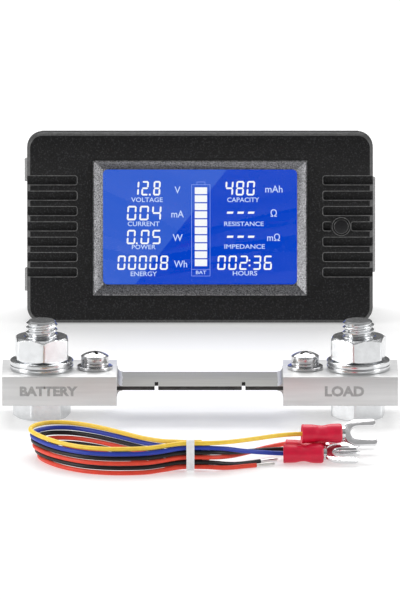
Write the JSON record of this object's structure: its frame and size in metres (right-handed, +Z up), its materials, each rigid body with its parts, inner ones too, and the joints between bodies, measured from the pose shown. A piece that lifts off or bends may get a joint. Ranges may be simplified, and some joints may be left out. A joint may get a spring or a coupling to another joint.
{
  "type": "battery monitor with shunt",
  "caption": "Battery monitor kit: bolt-terminal current shunt, panel display unit with blue LCD and side grip grooves, and a tied bundle of leads with fork terminals.",
  "frame": {"origin": "centre of the footprint of the display and the shunt, on the surface that they stand on", "axes": "+X along the shunt to the right as seen from the front, +Y away from the viewer, +Z up; the display's face looks along -Y and leans back 5.7 degrees"},
  "size_m": [0.1, 0.2047, 0.0497],
  "materials": {
    "bezel_plastic": "fine spark texture, satin",
    "housing_plastic": "fine spark texture, satin",
    "trim_silver": "silver grey, fine texture",
    "clear_window": "clear, polished",
    "lcd": "lit blue display with white segments",
    "light_guide": "white diffuser",
    "circuit_board": "green solder mask",
    "components": "moulded",
    "tinned_copper": "tinned",
    "switch_plastic": "moulded",
    "button_plastic": "satin",
    "clip_plastic": "satin grey",
    "terminal_plastic": "moulded",
    "screw_steel": "bright nickel",
    "plated_steel": "bright zinc plate",
    "plated_brass": "bright nickel plate on brass, brushed",
    "manganin": "rolled manganin strip",
    "solder": "flowed solder",
    "yellow_insulation": "soft silicone, satin",
    "blue_insulation": "soft silicone, satin",
    "black_insulation": "soft silicone, satin",
    "red_insulation": "soft silicone, satin",
    "red_sleeve": "soft vinyl",
    "tinned_fork": "bright tin plate",
    "white_nylon": "nylon"
  },
  "bodies": {
    "shunt": {"left_block": "plated_brass", "right_block": "plated_brass", "resistor_strip": "manganin", "left_solder": "solder", "right_solder": "solder", "left_bolt": "plated_steel", "right_bolt": "plated_steel", "left_lower_washer": "plated_steel", "right_lower_washer": "plated_steel"},
    "left_lift_washer": {"left_upper_washer": "plated_steel"},
    "left_nut": {"left_nut": "plated_steel"},
    "right_lift_washer": {"right_upper_washer": "plated_steel"},
    "right_nut": {"right_nut": "plated_steel"},
    "left_sense_stack": {"left_sense_washer": "screw_steel", "left_sense_spring_washer": "screw_steel"},
    "left_sense_screw": {"left_sense_screw": "screw_steel"},
    "right_sense_stack": {"right_sense_washer": "screw_steel", "right_sense_spring_washer": "screw_steel"},
    "right_sense_screw": {"right_sense_screw": "screw_steel"},
    "display": {"front_bezel": "bezel_plastic", "window_trim": "trim_silver", "window_lens": "clear_window", "lcd_glass": "lcd", "backlight": "light_guide", "lcd_pins": "tinned_copper", "main_pcb": "circuit_board", "mcu_chip": "components", "pcb_components": "components", "tact_switch": "switch_plastic", "rear_housing": "housing_plastic", "case_screws": "screw_steel", "terminal_block": "terminal_plastic"},
    "button": {"button": "button_plastic"},
    "left_clip": {"left_panel_clip": "clip_plastic"},
    "right_clip": {"right_panel_clip": "clip_plastic"},
    "clamp_screw_1": {"terminal_screw_1": "screw_steel"},
    "clamp_screw_2": {"terminal_screw_2": "screw_steel"},
    "clamp_screw_3": {"terminal_screw_3": "screw_steel"},
    "clamp_screw_4": {"terminal_screw_4": "screw_steel"},
    "leads": {"yellow_wire": "yellow_insulation", "blue_wire": "blue_insulation", "black_wire_1": "black_insulation", "red_wire_1": "red_insulation", "black_wire_2": "black_insulation", "red_wire_2": "red_insulation", "yellow_sleeve": "red_sleeve", "blue_sleeve": "red_sleeve", "black_sleeve": "red_sleeve", "red_sleeve": "red_sleeve", "yellow_fork": "tinned_fork", "blue_fork": "tinned_fork", "black_fork": "tinned_fork", "red_fork": "tinned_fork", "cable_tie": "white_nylon", "tinned_ends": "tinned_copper"}
  },
  "joints": [
    {"name": "left_nut_rise", "type": "slide", "parent": "shunt", "child": "left_lift_washer", "axis": [0, 0, 1], "range_m": [0, 0.0101]},
    {"name": "left_nut_turn", "type": "hinge", "parent": "left_lift_washer", "child": "left_nut", "pos_m": [-0.04, -0.06332, 0.0177], "axis": [0, 0, 1], "range_deg": [0, 2880]},
    {"name": "right_nut_rise", "type": "slide", "parent": "shunt", "child": "right_lift_washer", "axis": [0, 0, 1], "range_m": [0, 0.0101]},
    {"name": "right_nut_turn", "type": "hinge", "parent": "right_lift_washer", "child": "right_nut", "pos_m": [0.04, -0.06332, 0.0177], "axis": [0, 0, 1], "range_deg": [0, 2880]},
    {"name": "left_sense_rise", "type": "slide", "parent": "shunt", "child": "left_sense_stack", "axis": [0, 0, 1], "range_m": [0, 0.007]},
    {"name": "left_sense_turn", "type": "hinge", "parent": "left_sense_stack", "child": "left_sense_screw", "pos_m": [-0.0266, -0.06332, 0.0141], "axis": [0, 0, 1], "range_deg": [0, 3605]},
    {"name": "right_sense_rise", "type": "slide", "parent": "shunt", "child": "right_sense_stack", "axis": [0, 0, 1], "range_m": [0, 0.007]},
    {"name": "right_sense_turn", "type": "hinge", "parent": "right_sense_stack", "child": "right_sense_screw", "pos_m": [0.0266, -0.06332, 0.0141], "axis": [0, 0, 1], "range_deg": [0, 3605]},
    {"name": "display_lift", "type": "slide", "parent": "shunt", "child": "display", "axis": [0, 0, 1], "range_m": [0, 0.06]},
    {"name": "leads_lift", "type": "slide", "parent": "shunt", "child": "leads", "axis": [0, 0, 1], "range_m": [0, 0.06]},
    {"name": "button_press", "type": "slide", "parent": "display", "child": "button", "axis": [0, 0.995, -0.0995], "range_m": [0, 0.0005], "stiffness_N_per_m": 800},
    {"name": "left_clip_press", "type": "hinge", "parent": "display", "child": "left_clip", "pos_m": [-0.042, 0.06807, 0.02298], "axis": [0, 0.0995, 0.995], "range_deg": [0, 11], "stiffness_Nm_per_rad": 0.05},
    {"name": "right_clip_press", "type": "hinge", "parent": "display", "child": "right_clip", "pos_m": [0.042, 0.06807, 0.02298], "axis": [0, -0.0995, -0.995], "range_deg": [0, 11], "stiffness_Nm_per_rad": 0.05},
    {"name": "clamp_screw_1_turn", "type": "hinge", "parent": "display", "child": "clamp_screw_1", "pos_m": [-0.0075, 0.06633, 0.01572], "axis": [0, 0.995, -0.0995], "range_deg": [0, 1440]},
    {"name": "clamp_screw_2_turn", "type": "hinge", "parent": "display", "child": "clamp_screw_2", "pos_m": [-0.0025, 0.06633, 0.01572], "axis": [0, 0.995, -0.0995], "range_deg": [0, 1440]},
    {"name": "clamp_screw_3_turn", "type": "hinge", "parent": "display", "child": "clamp_screw_3", "pos_m": [0.0025, 0.06633, 0.01572], "axis": [0, 0.995, -0.0995], "range_deg": [0, 1440]},
    {"name": "clamp_screw_4_turn", "type": "hinge", "parent": "display", "child": "clamp_screw_4", "pos_m": [0.0075, 0.06633, 0.01572], "axis": [0, 0.995, -0.0995], "range_deg": [0, 1440]}
  ],
  "couplings": [
    {"joint": "left_nut_rise", "follows": "left_nut_turn", "m_per_rad": 0.00019894},
    {"joint": "right_nut_rise", "follows": "right_nut_turn", "m_per_rad": 0.00019894},
    {"joint": "left_sense_turn", "follows": "left_sense_rise", "rad_per_m": 8976},
    {"joint": "right_sense_turn", "follows": "right_sense_rise", "rad_per_m": 8976}
  ]
}
